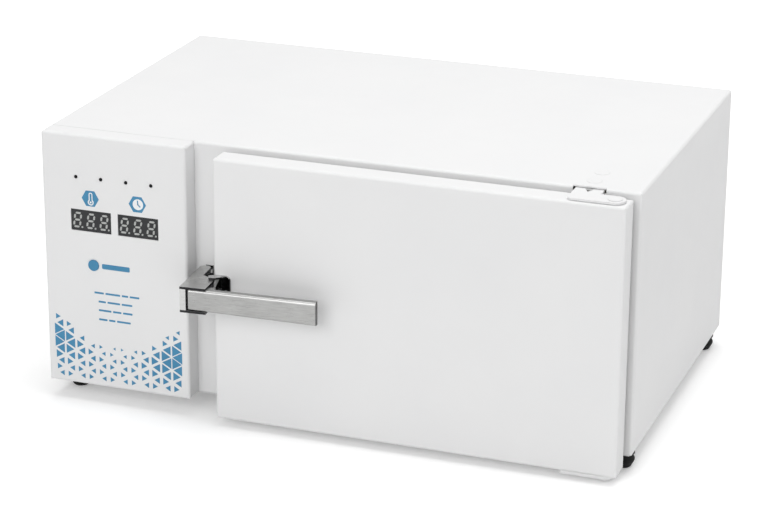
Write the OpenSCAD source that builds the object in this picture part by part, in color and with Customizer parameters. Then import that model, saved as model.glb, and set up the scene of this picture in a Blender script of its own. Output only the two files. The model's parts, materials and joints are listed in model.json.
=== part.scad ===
// Benchtop dry heat sterilizer: a folded steel case with a control panel box on the left of its
// front and a hinged door with a lever latch on the right, over a heated chamber with two trays.
// Sizes are in millimetres. Inside the modules x runs from the left side of the case to the right,
// y from its front face to the rear and z up from its underside. on_bench() then moves everything
// so that the origin lies at the middle of the footprint, on the bench.

/* [Case] */
// Width of the case
case_w = 526; // [510:1:560]
// Depth of the case, front face to rear edge
case_d = 318; // [305:1:370]
// Height of the case without feet
case_h = 230; // [222:1:250]
// Thickness of the painted steel sheet
sheet = 1.2; // [0.8:0.1:1.6]
// Outside radius of the folded edges
fold_r = 2.5; // [2:0.1:3.5]
// Width of the flange folded in round the underside
floor_flange = 30; // [29:1:34]
// Width of the flange folded in round the rear
rear_flange = 12; // [10:1:16]
// Distance of the base and rear plates from the edges of the case
plate_inset = 3; // [2:0.5:5]

/* [Feet] */
// Radius of a rubber foot
foot_r = 10; // [8:0.5:11]
// Height of a rubber foot
foot_h = 15.5; // [15:0.5:24]
// Distance of a foot's centre from the side of the case
foot_side = 12; // [12:0.5:16]
// Distance of a foot's centre from the front and the rear of the case
foot_end = 18; // [16:0.5:20]
// Radius of the foot screws
foot_screw_r = 2; // [1.5:0.1:2.5]

/* [Control panel] */
// Width of the control panel box
panel_w = 135; // [130:1:142]
// Distance that the panel box stands in front of the case
panel_depth = 19; // [17:0.5:24]
// Seam between the panel box and the case
panel_seam = 0.3; // [0.1:0.1:0.5]
// Width of a display module
display_w = 37.6; // [34:0.2:40]
// Height of a display module
display_h = 19; // [18:0.5:22]
// Depth of a display module, face to board
display_t = 8; // [7:0.5:9]
// Space between the two display modules
display_gap = 6.8; // [4:0.2:12]
// Distance from the top of the case down to the middle of the displays
display_drop = 77; // [70:1:84]
// Distance of a display's face behind the panel's face
display_recess = 0.4; // [0.3:0.1:0.8]
// Height of a digit
digit_h = 14.2; // [12:0.2:15]
// Width of a digit
digit_w = 7.4; // [6:0.2:8.2]
// Width of one digit segment
segment_w = 1.7; // [1.2:0.1:2]
// Radius of an indicator light
led_r = 1.5; // [1:0.1:2]
// Distance between neighbouring indicator lights
led_pitch = 23.5; // [20:0.5:26]
// Distance from the top of the case down to the indicator lights
led_drop = 38; // [36:1:42]
// Radius of the program button
button_r = 5; // [4:0.2:6]
// Distance of the button's centre from the left side of the case
button_x = 46.5; // [40:0.5:56]
// Distance from the top of the case down to the button
button_drop = 117; // [112:1:122]
// Travel of the program button
button_travel = 0.5; // [0.3:0.1:0.5]
// Width of the display circuit board
board_w = 104; // [100:1:110]
// Height of the display circuit board
board_h = 112; // [110:1:116]
// Thickness of the circuit boards
board_t = 1.6; // [1:0.2:2.4]

/* [Printed pattern] */
// Side of one cell of the triangle lattice
cell_side = 11.8; // [10:0.2:14]
// Thickness of the printed colour
print_t = 0.1; // [0.05:0.05:0.2]
// Height of the pattern at the panel's sides
print_high = 76; // [66:1:84]
// Height of the pattern at the panel's middle
print_low = 38; // [30:1:46]
// Radius of the icon hexagons, centre to corner
icon_r = 8.1; // [6:0.1:8.4]

/* [Chamber] */
// Distance of the chamber's side walls from the door's side edges
chamber_side = 33.5; // [32.5:0.5:38.5]
// Distance of the chamber's floor and ceiling from the door's lower and upper edges
chamber_end = 45; // [42.5:0.5:47.5]
// Distance of the chamber's back from the rear of the case
chamber_rear = 78; // [68:1:93]
// Thickness of the stainless liner
liner_t = 0.8; // [0.6:0.1:1]
// Inside corner radius of the liner
liner_r = 8; // [4:1:12]
// Width of the lip round the chamber's mouth
liner_lip = 12; // [10:1:14]
// Radius of a tubular heater
heater_r = 4; // [3:0.5:4.5]
// Space for a heater above and below the liner
heater_space = 14; // [12:0.5:15]
// Distance between neighbouring runs of a heater
heater_pitch = 50; // [44:1:54]
// Thickness of the insulation behind the chamber
rear_insulation = 28; // [20:1:32]
// Thickness of the insulation between the partition and the liner
side_insulation = 44; // [36:1:46]
// Height of the first tray rail over the chamber's floor
rail_first = 28; // [20:1:30]
// Distance of the highest tray rail from the chamber's ceiling
rail_head = 37; // [33:1:49]
// Width of a tray rail's ledge
rail_ledge = 8; // [6:0.5:10]
// Thickness of the rail strips
rail_t = 1; // [0.8:0.1:1.5]
// Height of a tray
tray_h = 14; // [10:1:18]
// Distance between a tray and the rail strips
tray_play = 2; // [1:0.5:4]

/* [Door] */
// Space between the control panel and the door
door_panel_gap = 28.5; // [23.5:0.5:35.5]
// Distance that the door reaches below the underside of the case
door_overhang = 9; // [0:0.5:12]
// Thickness of the door
door_t = 23; // [21:0.5:25]
// Gap between the door and the case
door_gap = 5; // [4.5:0.1:6]
// Distance of the door's right edge from the right side of the case
door_side = 5.5; // [4:0.5:8]
// Distance of the door's top edge below the top of the case
door_drop = 4; // [3.8:0.1:5]
// Width of the lip round the back of the door
door_lip = 12; // [10:1:14]
// Height of the pressed field of the door's inner panel
field_h = 3; // [2:0.1:3.4]

/* [Hinges] */
// Distance of the pivot from the door's right edge
pivot_inset = 12.5; // [11:0.1:12.6]
// Radius of the hinge pins
hinge_pin_r = 3; // [2.5:0.1:3.5]
// Thickness of the upper hinge arm
upper_arm_t = 1.8; // [1.5:0.1:2.2]
// Width of the upper hinge arm
upper_arm_w = 24; // [22:1:28]
// Thickness of the lower hinge arm
lower_arm_t = 3; // [2:0.1:3.4]
// Width of the lower hinge arm
arm_w = 28; // [24:1:30]
// Length of the hinge arms behind the front of the case
arm_reach = 52; // [48:1:60]
// Radius of the arm's round end about the pivot
arm_end_r = 9; // [8:0.5:10]
// Space between a hinge arm and the bush under or over it
hinge_gap = 0.3; // [0.2:0.1:0.5]
// Play of a pin in its bore, on the radius
pin_fit = 0.05; // [0.02:0.01:0.08]

/* [Latch] */
// Height of the latch's middle over the underside of the case
latch_z = 109.5; // [100:0.5:120]
// Height of the hook over its two plates
latch_h = 23; // [22:0.5:26]
// Thickness of the hook's plates
latch_sheet = 2; // [1.5:0.1:2.5]
// Angle at which the lever stands off the door when closed
latch_yaw = 4; // [3:0.5:7]
// Distance of the latch pivot from the door's left edge
latch_side = 6.5; // [6:0.5:8]
// Distance of the latch pivot in front of the door
latch_front = 14; // [13:0.5:16]
// Distance of the hook's front from the pivot
hook_front = 17; // [16:0.5:19]
// Width of the hook's plates left of the pivot
hook_left = 12.3; // [11:0.1:13]
// Width of the hook's plates right of the pivot
hook_right = 10.4; // [9:0.1:12]
// Width of the hook's neck
neck_w = 10; // [8:0.5:11]
// Length of the hook's neck behind the pivot
neck_reach = 38; // [34:0.5:38.5]
// Length of the handle bar
bar_len = 112; // [90:1:130]
// Height of the handle bar at its free end
bar_h = 20.8; // [20:0.2:25]
// Depth of the bar's folded edges
bar_depth = 6; // [5:0.5:8]
// Thickness of the bar's sheet
bar_t = 1.5; // [1:0.1:2]
// Radius of the latch pin
latch_pin_r = 3; // [2:0.1:3.4]
// Length of the keeper in front of the case
keeper_reach = 19.5; // [18:0.5:24]
// Width of the keeper
keeper_w = 10.5; // [9:0.5:12]

/* [Rear fittings] */
// Distance of the mains inlet's centre from the left side of the case
inlet_x = 52; // [46:1:70]
// Height of the mains inlet's centre
inlet_z = 44; // [38:1:52]
// Thickness of the inlet's flange
inlet_t = 3.2; // [3.2:0.1:4]
// Height of the power switch's centre
switch_z = 92; // [86:1:104]
// Length of the power switch's rocker
rocker_l = 22; // [20:0.5:24]
// Tilt of the rocker to each side
rocker_tilt = 8; // [6:0.5:9]
// Height of a ventilation slot
vent_h = 26; // [18:1:30]
// Width of a ventilation slot
vent_w = 4; // [3:0.5:5]
// Distance between neighbouring ventilation slots
vent_pitch = 9; // [8:0.5:12]

/* [Hidden] */
$fn = 48;
// Overlap that lets a cut run clean through a face
cut = 1;
// Space between parts that lie close to each other without touching
clear = 0.3;

white = [0.93, 0.93, 0.93];
print_blue = [0.29, 0.53, 0.70];
steel = [0.72, 0.72, 0.71];
dark_steel = [0.30, 0.30, 0.31];
rubber_black = [0.06, 0.06, 0.06];
board_green = [0.10, 0.35, 0.22];

// Door place and its pivot
door_w = case_w - panel_w - door_panel_gap - door_side;
door_h = case_h - door_drop + door_overhang;
door_x = panel_w + door_panel_gap;
door_z = -door_overhang;
door_front = -door_gap - door_t;
pivot_x = door_x + door_w - pivot_inset;
pivot_y = -door_gap - door_t / 2;

// Chamber, centred on the door
chamber_w = door_w - 2 * chamber_side;
chamber_h = door_h - 2 * chamber_end;
chamber_d = case_d - chamber_rear;
mouth_x = door_x + chamber_side;
mouth_z = door_z + chamber_end;
partition_x = mouth_x - liner_t - side_insulation - sheet;

// Heights under the case
base_z = -sheet;
bush_lip = 0.1;
lower_tongue_z = door_z - bush_lip - hinge_gap - lower_arm_t;
upper_tongue_z = case_h - door_drop + bush_lip + hinge_gap;
arm_x = pivot_x - arm_end_r - arm_w - 1;
notch_side = 2;
pin_head_h = 2.6;
rivet_head_t = 1;

// Latch place
latch_x = door_x - latch_side;
latch_y = door_front - latch_front;
latch_low = latch_z - latch_h / 2;
hook_gap = latch_h - 2 * latch_sheet;
neck_right = -hook_left + neck_w;
hook_back = 7.5;
neck_root = 15;
web_w = 5.3;
web_gap = 2.2;
bar_left = -hook_left + web_w + web_gap;
ear_t = 2;
ear_play = 0.7;

// Boards
board_y = -panel_depth + display_recess + display_t;
board_z = case_h - board_h - 24;
stud_x = 44;
stud_z = 8;

// Rear fittings
rear_y = case_d + sheet;
bezel_t = 1.5;
rocker_w = 10;
rocker_rise = 4.2;
rocker_axis_y = rear_y + bezel_t - rocker_rise;

// Footprint, for the origin
front_reach = latch_y - hook_left * sin(latch_yaw) - hook_front * cos(latch_yaw);
back_reach = rear_y + inlet_t;

module on_bench() {
    translate([-case_w / 2, -(front_reach + back_reach) / 2, sheet + foot_h]) children();
}

module slab(x, y, z, w, d, h) {
    translate([x, y, z]) cube([w, d, h]);
}

// Rectangle with round corners, from the origin
module round_rect(w, h, r) {
    translate([r, 0]) square([w - 2 * r, h]);
    translate([0, r]) square([w, h - 2 * r]);
    for (x = [r, w - r], y = [r, h - r]) translate([x, y]) circle(r);
}

// Box with all edges rounded, as folded sheet has them
module round_box(w, d, h, r) {
    intersection() {
        linear_extrude(h) round_rect(w, d, r);
        translate([0, d, 0]) rotate([90, 0, 0]) linear_extrude(d) round_rect(w, h, r);
        rotate([90, 0, 90]) linear_extrude(w) round_rect(d, h, r);
    }
}

// Upright plate that stands in the plane of the front, from y to y + t
module wall(x, y, z, w, t, h, r) {
    translate([x, y + t, z]) rotate([90, 0, 0]) linear_extrude(t) round_rect(w, h, r);
}

// Round bar along y, from y to y + l
module bar_y(x, y, z, r, l) {
    translate([x, y, z]) rotate([-90, 0, 0]) cylinder(r = r, h = l);
}

module rod_z(x, y, z, r, l) {
    translate([x, y, z]) cylinder(r = r, h = l);
}

// Upright slot with round ends, cut from y to y + t
module slot_y(x, y, z, w, t, h) {
    wall(x - w / 2, y, z - h / 2, w, t, h, w / 2 - 0.01);
}

// Places of the four feet, and the runs that repeat
foot_places = [for (x = [foot_side, case_w - foot_side], y = [foot_end, case_d - foot_end]) [x, y]];

module at_feet() {
    for (p = foot_places) translate([p[0], p[1], 0]) children();
}

// Case

module case_outline() {
    round_box(case_w, case_d, case_h, fold_r);
    // behind the control panel the front edges stay sharp
    intersection() {
        translate([0, -2 * fold_r, 0]) round_box(case_w, case_d + 2 * fold_r, case_h, fold_r);
        slab(0, 0, 0, panel_w, case_d, case_h);
    }
}

module outer_case() {
    color(white) on_bench() difference() {
        case_outline();
        translate([sheet, sheet, sheet])
            round_box(case_w - 2 * sheet, case_d - 2 * sheet, case_h - 2 * sheet, fold_r - sheet);
        slab(floor_flange, floor_flange, -cut, case_w - 2 * floor_flange,
            case_d - 2 * floor_flange, sheet + 2 * cut);
        slab(rear_flange, case_d - sheet - cut, rear_flange, case_w - 2 * rear_flange,
            sheet + 2 * cut, case_h - 2 * rear_flange);
        // mouth of the chamber
        slab(mouth_x - liner_t - clear, -cut, mouth_z - liner_t - clear,
            chamber_w + 2 * (liner_t + clear), sheet + 2 * cut, chamber_h + 2 * (liner_t + clear));
        // window behind the control panel
        slab(rear_flange, -cut, rear_flange, panel_w - 2 * rear_flange, sheet + 2 * cut,
            case_h - 2 * rear_flange);
        // notch that lets the upper hinge arm out
        slab(arm_x - notch_side, -cut, upper_tongue_z - clear, upper_arm_w + 2 * notch_side,
            cut + fold_r, case_h);
        at_feet() translate([0, 0, -cut]) cylinder(r = foot_screw_r + pin_fit, h = sheet + 2 * cut);
        hinge_rivet_cores(pin_fit);
        case_screw_cores(pin_fit);
    }
}

module base_plate() {
    slots = floor((partition_x - 2 * floor_flange) / vent_pitch);
    color(white) on_bench() difference() {
        slab(plate_inset, plate_inset, base_z, case_w - 2 * plate_inset, case_d - 2 * plate_inset,
            sheet);
        at_feet() translate([0, 0, base_z - cut])
            cylinder(r = foot_screw_r + pin_fit, h = sheet + 2 * cut);
        // air slots under the electronics bay
        for (i = [0:slots - 1])
            translate([floor_flange + 10 + i * vent_pitch, case_d * 0.6, base_z - cut])
                linear_extrude(sheet + 2 * cut) round_rect(vent_w, 2 * vent_h, vent_w / 2 - 0.01);
        hinge_rivet_cores(pin_fit);
        case_screw_cores(pin_fit);
    }
}

// Air slots: first slot from the case's side and from the chamber's, and the rows' distances from
// the top and the underside
bay_slots_x = 30;
bay_slots_drop = 60;
chamber_slots_x = 15;
chamber_slots_end = 45;

// Rear panel, with air slots behind the bay and in two rows behind the chamber
module rear_panel() {
    bay_slots = floor((partition_x - 50) / vent_pitch);
    chamber_slots = floor((chamber_w - 20) / vent_pitch);
    color(white) on_bench() difference() {
        wall(plate_inset, case_d, plate_inset, case_w - 2 * plate_inset, sheet,
            case_h - 2 * plate_inset, fold_r);
        for (i = [0:bay_slots - 1])
            slot_y(bay_slots_x + i * vent_pitch, case_d - cut, case_h - bay_slots_drop, vent_w,
                sheet + 2 * cut, vent_h);
        for (i = [0:chamber_slots - 1], z = [chamber_slots_end, case_h - chamber_slots_end])
            slot_y(mouth_x + chamber_slots_x + i * vent_pitch, case_d - cut, z, vent_w,
                sheet + 2 * cut, vent_h);
        slab(inlet_x - inlet_body_w / 2 - clear, case_d - cut, inlet_z - inlet_body_h / 2 - clear,
            inlet_body_w + 2 * clear, sheet + 2 * cut, inlet_body_h + 2 * clear);
        slab(inlet_x - switch_w / 2 - clear, case_d - cut, switch_z - switch_l / 2 - clear,
            switch_w + 2 * clear, sheet + 2 * cut, switch_l + 2 * clear);
        case_screw_cores(pin_fit);
    }
}

// Screws of the rear panel and of the base plate
screw_r = 1.5;
screw_head_r = 3.4;
screw_head_h = 2;
screw_l = 8;
rear_screw_in = plate_inset + 5;
rear_screws = [
    for (x = [rear_screw_in, case_w / 2, case_w - rear_screw_in])
        for (z = [rear_screw_in, case_h - rear_screw_in]) [x, z],
    for (x = [rear_screw_in, case_w - rear_screw_in]) [x, case_h / 2],
];
base_screws = [
    for (x = [floor_flange - 8, case_w - floor_flange + 8]) [x, case_d / 2],
    for (x = [case_w / 3, case_w * 2 / 3]) [x, case_d - floor_flange + 8],
    [case_w / 3, floor_flange - 8],
];

module case_screw_cores(grow) {
    for (p = rear_screws)
        bar_y(p[0], rear_y + cut - screw_l, p[1], screw_r + grow, screw_l);
    for (p = base_screws)
        rod_z(p[0], p[1], base_z - cut, screw_r + grow, sheet + cut + sheet + clear);
}

module case_screws() {
    color(steel) on_bench() {
        for (p = rear_screws) difference() {
            union() {
                bar_y(p[0], rear_y - screw_l, p[1], screw_r, screw_l);
                bar_y(p[0], rear_y, p[1], screw_head_r, screw_head_h);
            }
            slab(p[0] - screw_head_r, rear_y + screw_head_h / 2, p[1] - 0.4, 2 * screw_head_r,
                screw_head_h, 0.8);
        }
        for (p = base_screws) {
            rod_z(p[0], p[1], base_z, screw_r, 2 * sheet);
            rod_z(p[0], p[1], base_z - screw_head_h, screw_head_r, screw_head_h);
        }
    }
}

// Feet

foot_head_r = foot_r * 0.46;
foot_head_deep = 6;

// Rubber foot: flange, groove, bulge and taper, bored for its screw
module foot_body() {
    bulge_z = foot_h / 2;
    difference() {
        rotate_extrude() polygon([
            [0, 0], [foot_r, 0], [foot_r, -3.2], [foot_r * 0.86, -3.9], [foot_r * 0.86, -5.4],
            [foot_r * 0.98, -bulge_z], [foot_r, -bulge_z - 0.8], [foot_r * 0.98, -bulge_z - 2],
            [foot_r * 0.72, -foot_h + 0.8], [foot_r * 0.64, -foot_h], [0, -foot_h],
        ]);
        rod_z(0, 0, -foot_h - cut, foot_screw_r + pin_fit, foot_h + 2 * cut);
        rod_z(0, 0, -foot_h - cut, foot_head_r, foot_head_deep + cut);
    }
}

module foot(index) {
    color(rubber_black) on_bench()
        translate([foot_places[index][0], foot_places[index][1], base_z]) foot_body();
}

module foot_screws() {
    color(steel) on_bench() at_feet() {
        rod_z(0, 0, base_z - foot_h + foot_head_deep, foot_screw_r, foot_h - foot_head_deep + 2 * sheet + 6);
        rod_z(0, 0, base_z - foot_h + foot_head_deep - 2, foot_head_r - 0.4, 2);
    }
}

module foot_nuts() {
    color(steel) on_bench() at_feet() translate([0, 0, sheet]) difference() {
        cylinder(r = foot_screw_r * 2, h = 3, $fn = 6);
        translate([0, 0, -cut]) cylinder(r = foot_screw_r + pin_fit, h = 3 + 2 * cut);
    }
}

// Control panel

panel_mid = panel_w / 2;
display_z = case_h - display_drop;
display_left = [panel_mid - display_gap / 2 - display_w, panel_mid + display_gap / 2];
led_places = [for (i = [-1.5:1:1.5]) panel_mid + i * led_pitch];
button_z = case_h - button_drop;

module control_panel() {
    color(white) on_bench() difference() {
        intersection() {
            translate([0, -panel_depth, 0])
                round_box(panel_w, panel_depth + 2 * fold_r, case_h, fold_r);
            slab(0, -panel_depth, 0, panel_w, panel_depth - panel_seam, case_h);
        }
        translate([sheet, -panel_depth + sheet, sheet])
            round_box(panel_w - 2 * sheet, panel_depth + 2 * fold_r, case_h - 2 * sheet,
                fold_r - sheet);
        for (x = display_left)
            slab(x - 0.2, -panel_depth - cut, display_z - display_h / 2 - 0.2, display_w + 0.4,
                sheet + 2 * cut, display_h + 0.4);
        for (x = led_places)
            bar_y(x, -panel_depth - cut, case_h - led_drop, led_r + 0.1, sheet + 2 * cut);
        bar_y(button_x, -panel_depth - cut, button_z, button_r + 0.1, sheet + 2 * cut);
    }
}

// Pattern of triangles, printed on the lower part of the panel. The cells are equilateral, with an
// upright side, and each triangle is its cell shrunk about the cell's middle.
cell_w = cell_side * sqrt(3) / 2;
print_margin = 3;
print_cols = floor((panel_w - 2 * print_margin) / cell_w);
print_left = (panel_w - print_cols * cell_w) / 2;

// Upper limit of the pattern at a distance u from the panel's middle, from 0 to 1
function print_limit(u) = print_low + (print_high - print_low) * pow(u, 2.2);

// Share of a cell that its triangle fills: full near two hubs low at the sides, small elsewhere
function hub(x, z, hx, hz) = exp(-pow((x - hx) / 30, 2) - pow((z - hz) / 21, 2));
function fill_share(x, z) =
    let (
        u = abs(x - panel_mid) / panel_mid,
        hubs = max(hub(x, z, 0.08 * panel_w, 44), hub(x, z, 0.92 * panel_w, 36)),
        room = min(1, max(0, (print_limit(u) - z) / 16))
    )
    (0.40 + 0.50 * hubs) * (0.55 + 0.45 * room);

module panel_triangle(x, z, dir, share) {
    reach = cell_w * share;
    half = cell_side * share / 2;
    translate([x, z]) scale([dir, 1])
        polygon([[-reach / 3, -half], [reach * 2 / 3, 0], [-reach / 3, half]]);
}

module pattern_shapes() {
    rows = ceil(print_high / cell_side) + 1;
    for (c = [0:print_cols - 1], r = [0:2 * rows]) {
        dir = (c + r) % 2 == 0 ? 1 : -1;
        x = print_left + cell_w * (c + (dir > 0 ? 1 / 3 : 2 / 3));
        z = r * cell_side / 2 + 2;
        share = fill_share(x, z);
        u = abs(x - panel_mid) / panel_mid;
        if (z < print_limit(u) && z - share * cell_side / 2 > print_margin)
            panel_triangle(x, z, dir, share);
    }
}

icon_drop = 56.3;

module panel_print() {
    color(print_blue) on_bench() translate([0, -panel_depth, 0]) rotate([90, 0, 0])
        linear_extrude(print_t) {
            pattern_shapes();
            for (x = display_left)
                translate([x + display_w / 2, case_h - icon_drop]) circle(icon_r, $fn = 6);
        }
}

module display_module(index) {
    color([0.17, 0.17, 0.18]) on_bench()
        slab(display_left[index], -panel_depth + display_recess, display_z - display_h / 2,
            display_w, display_t, display_h);
}

// One segment lies along x, with pointed ends
module segment(len) {
    h = segment_w / 2;
    polygon([[h + 0.2, 0], [segment_w + 0.2, h], [len - segment_w - 0.2, h], [len - h - 0.2, 0],
        [len - segment_w - 0.2, -h], [segment_w + 0.2, -h]]);
}

// Seven segments and a point, from the digit's lower left corner
module digit() {
    half = (digit_h - segment_w) / 2;
    for (z = [0, half, 2 * half]) translate([0, z + segment_w / 2]) segment(digit_w);
    for (x = [segment_w / 2, digit_w - segment_w / 2], z = [segment_w / 2, segment_w / 2 + half])
        translate([x, z]) rotate(90) segment(half);
    translate([digit_w + 1.5, segment_w / 2]) circle(segment_w / 2);
}

digit_slope = 0.14;
digit_t = 0.1;

// Three digits that lean to the right, on the module's face
module digits(index) {
    pitch = display_w / 3;
    y = -panel_depth + display_recess;
    color([0.72, 0.73, 0.74]) on_bench() translate([0, y, 0]) rotate([90, 0, 0])
        linear_extrude(digit_t)
            for (i = [0:2])
                translate([display_left[index] + (i + 0.5) * pitch - digit_w / 2 - 1.4,
                    display_z - digit_h / 2])
                    multmatrix([[1, digit_slope, 0, 0], [0, 1, 0, 0], [0, 0, 1, 0]]) digit();
}

module indicator_leds() {
    color([0.12, 0.12, 0.12]) on_bench() for (x = led_places) {
        bar_y(x, -panel_depth, case_h - led_drop, led_r, board_y + panel_depth);
        translate([x, -panel_depth, case_h - led_drop]) scale(0.98) sphere(led_r);
        bar_y(x, board_y - 1, case_h - led_drop, led_r + 0.4, 1);
    }
}

stud_places = [for (x = [-stud_x, stud_x], z = [stud_z, board_h - stud_z]) [panel_mid + x, board_z + z]];

module display_board() {
    color(board_green) on_bench() difference() {
        slab(panel_mid - board_w / 2, board_y, board_z, board_w, board_t, board_h);
        for (p = stud_places) bar_y(p[0], board_y - cut, p[1], screw_r, board_t + 2 * cut);
    }
}

standoff_l = board_y + panel_depth - sheet;
power_standoff_l = 8;

module board_standoffs() {
    color(steel) on_bench() {
        for (p = stud_places) bar_y(p[0], -panel_depth + sheet, p[1], 2.8, standoff_l);
        for (p = power_studs)
            translate([partition_x - power_standoff_l, p[0], p[1]]) rotate([0, 90, 0])
                cylinder(r = 2.8, h = power_standoff_l);
    }
}

switch_body_t = 3.5;
plunger_l = 0.8;
button_play = 0.2;
button_flange_t = 1;
button_proud = 0.8;

module button_switch() {
    color(dark_steel) on_bench() {
        slab(button_x - 3, board_y - switch_body_t, button_z - 3, 6, switch_body_t, 6);
        bar_y(button_x, board_y - switch_body_t - plunger_l, button_z, 1.6, plunger_l);
    }
}

// Round cap with a flange behind the sheet and a stem that ends short of the switch
module program_button() {
    flange_y = -panel_depth + sheet + clear;
    stem_end = board_y - switch_body_t - plunger_l - button_travel - button_play;
    color(print_blue) on_bench() {
        bar_y(button_x, -panel_depth - button_proud, button_z, button_r,
            flange_y + panel_depth + button_proud);
        bar_y(button_x, flange_y, button_z, button_r + 1.4, button_flange_t);
        bar_y(button_x, flange_y, button_z, 1.6, stem_end - flange_y);
    }
}

// Electronics bay

lower_heater_z = mouth_z - liner_t - clear - heater_r;
upper_heater_z = mouth_z + chamber_h + liner_t + clear + heater_r;

// Mains board, with room under it for the lower heater's leads and over it for the upper one's, and
// its parts: capacitors, fuse and relay
power_w = 150;
power_back = 60;
power_low = 35.1;
lead_room = 2.1;
power_h = upper_heater_z - lower_heater_z - 2 * heater_r - power_low - lead_room;
power_y = case_d - power_back - power_w;
power_z = lower_heater_z + heater_r + power_low;
power_studs = [for (y = [8, power_w - 8], z = [8, power_h - 8]) [power_y + y, power_z + z]];
power_x = partition_x - power_standoff_l - board_t;
fuse_drop = 22;
fuse_z = power_z + power_h - fuse_drop;
capacitor_r = 8;
capacitor_l = 18;
capacitor_y = 100;
capacitor_z = 30;
capacitor_pitch = 2 * capacitor_r + 6;
relay_l = 30;
relay_t = 16;
relay_h = 28;
relay_y = 20;
lead_y = [for (i = [0, 3]) chamber_d / 2 + (i - 1.5) * heater_pitch];

module bay_partition() {
    color(steel) on_bench() difference() {
        slab(partition_x, rear_flange, sheet, sheet, case_d - 2 * rear_flange, case_h - 2 * sheet);
        for (y = lead_y, z = [lower_heater_z, upper_heater_z])
            translate([partition_x - cut, y, z]) rotate([0, 90, 0])
                cylinder(r = heater_r + 0.5, h = sheet + 2 * cut);
    }
}

// Mains board on the partition, with terminals, capacitors and a fuse in its clips
module power_board() {
    color(board_green) on_bench() {
        slab(power_x, power_y, power_z, board_t, power_w, power_h);
        for (i = [0:3])
            slab(power_x - 12, power_y + 14 + i * 11, power_z + 6, 12, 10, 11);
        for (i = [0:1])
            translate([power_x - capacitor_l, power_y + capacitor_y + i * capacitor_pitch,
                power_z + capacitor_z]) rotate([0, 90, 0]) cylinder(r = capacitor_r, h = capacitor_l);
        slab(power_x - 6, power_y + 62, fuse_z - 3, 6, 4, 6);
        slab(power_x - 6, power_y + 78, fuse_z - 3, 6, 4, 6);
        translate([power_x - 5, power_y + 60, fuse_z]) rotate([-90, 0, 0])
            cylinder(r = 2.5, h = 24);
    }
}

module heater_relay() {
    color([0.15, 0.25, 0.5]) on_bench()
        slab(power_x - relay_t, power_y + relay_y, power_z + 0.4 * power_h, relay_t, relay_l, relay_h);
}

// Transformer core: overall size, outer legs, yokes and the two windows between the legs
core_w = 54;
core_t = 22;
core_h = 46;
core_leg = 8;
core_yoke = 9;
window_w = 14;
window_h = core_h - 2 * core_yoke;
core_side = 50;
core_back = 150;
core_x = core_side;
core_y = case_d - core_back;
coil_play = 0.5;
coil_t = 5.5;

// Laminated core with its bobbin round the middle leg, on the base plate
module mains_transformer() {
    leg_w = core_w - 2 * (core_leg + window_w);
    inner_w = leg_w + 2 * coil_play;
    inner_d = core_t + 2 * coil_play;
    coil_w = core_w - 2 * (core_leg + coil_play);
    coil_d = inner_d + 2 * coil_t;
    color(dark_steel) on_bench() {
        difference() {
            slab(core_x, core_y, 0, core_w, core_t, core_h);
            for (x = [core_leg, core_w - core_leg - window_w])
                slab(core_x + x, core_y - cut, core_yoke, window_w, core_t + 2 * cut, window_h);
        }
        translate([core_x + core_w / 2, core_y + core_t / 2, core_yoke]) difference() {
            slab(-coil_w / 2, -coil_d / 2, 0, coil_w, coil_d, window_h);
            slab(-inner_w / 2, -inner_d / 2, -cut, inner_w, inner_d, window_h + 2 * cut);
        }
    }
}

// Chamber

module chamber_liner() {
    deep = chamber_d + liner_t;
    color(steel) on_bench() difference() {
        union() {
            wall(mouth_x - liner_t, -liner_t, mouth_z - liner_t, chamber_w + 2 * liner_t, deep + liner_t,
                chamber_h + 2 * liner_t, liner_r + liner_t);
            wall(mouth_x - liner_lip, -liner_t, mouth_z - liner_lip, chamber_w + 2 * liner_lip, liner_t,
                chamber_h + 2 * liner_lip, liner_r);
        }
        wall(mouth_x, -liner_t - cut, mouth_z, chamber_w, chamber_d + liner_t + cut, chamber_h, liner_r);
        bar_y(probe_x, chamber_d - cut, probe_z, probe_r + pin_fit, liner_t + 2 * cut);
    }
}

wool_gap = 1;
insulation_top = upper_tongue_z - rivet_head_t - clear;

// Blanket round the liner, with room for the heaters, the probe and the foot nuts
module chamber_insulation() {
    x = partition_x + sheet + wool_gap;
    z = sheet + wool_gap;
    side = liner_t + clear;
    high = heater_space + liner_t;
    color([0.86, 0.80, 0.62]) on_bench() difference() {
        slab(x, sheet + wool_gap, z, case_w - sheet - wool_gap - x, chamber_d + rear_insulation,
            insulation_top - z);
        slab(mouth_x - side, 0, mouth_z - high, chamber_w + 2 * side, chamber_d + side,
            chamber_h + 2 * high);
        for (y = lead_y, h = [lower_heater_z, upper_heater_z])
            translate([x - cut, y, h]) rotate([0, 90, 0])
                cylinder(r = heater_r + 1, h = side_insulation + 2 * cut);
        bar_y(probe_x, chamber_d, probe_z, probe_nut_r + 1, rear_insulation + 2 * side + cut);
        at_feet() cylinder(r = foot_screw_r * 2 + 1, h = sheet + 12);
        for (p = base_screws) rod_z(p[0], p[1], 0, screw_r + 1, sheet + 2);
    }
}

// Tubular heater in four runs, its two ends led out through the partition
module heater_tube(z) {
    run_x = mouth_x + 30;
    run_l = chamber_w - 60;
    color([0.45, 0.43, 0.40]) on_bench() {
        for (i = [0:3]) {
            y = chamber_d / 2 + (i - 1.5) * heater_pitch;
            lead = i == 0 || i == 3 ? run_x - partition_x + 14 : 0;
            translate([run_x - lead, y, z]) rotate([0, 90, 0]) cylinder(r = heater_r, h = run_l + lead);
        }
        for (i = [0, 2]) translate([run_x + run_l, chamber_d / 2 + (i - 1) * heater_pitch, z])
            rotate([0, 0, -90]) heater_bend();
        translate([run_x, chamber_d / 2, z]) rotate([0, 0, 90]) heater_bend();
    }
}

module heater_bend() {
    rotate_extrude(angle = 180) translate([heater_pitch / 2, 0]) circle(heater_r);
}

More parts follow.
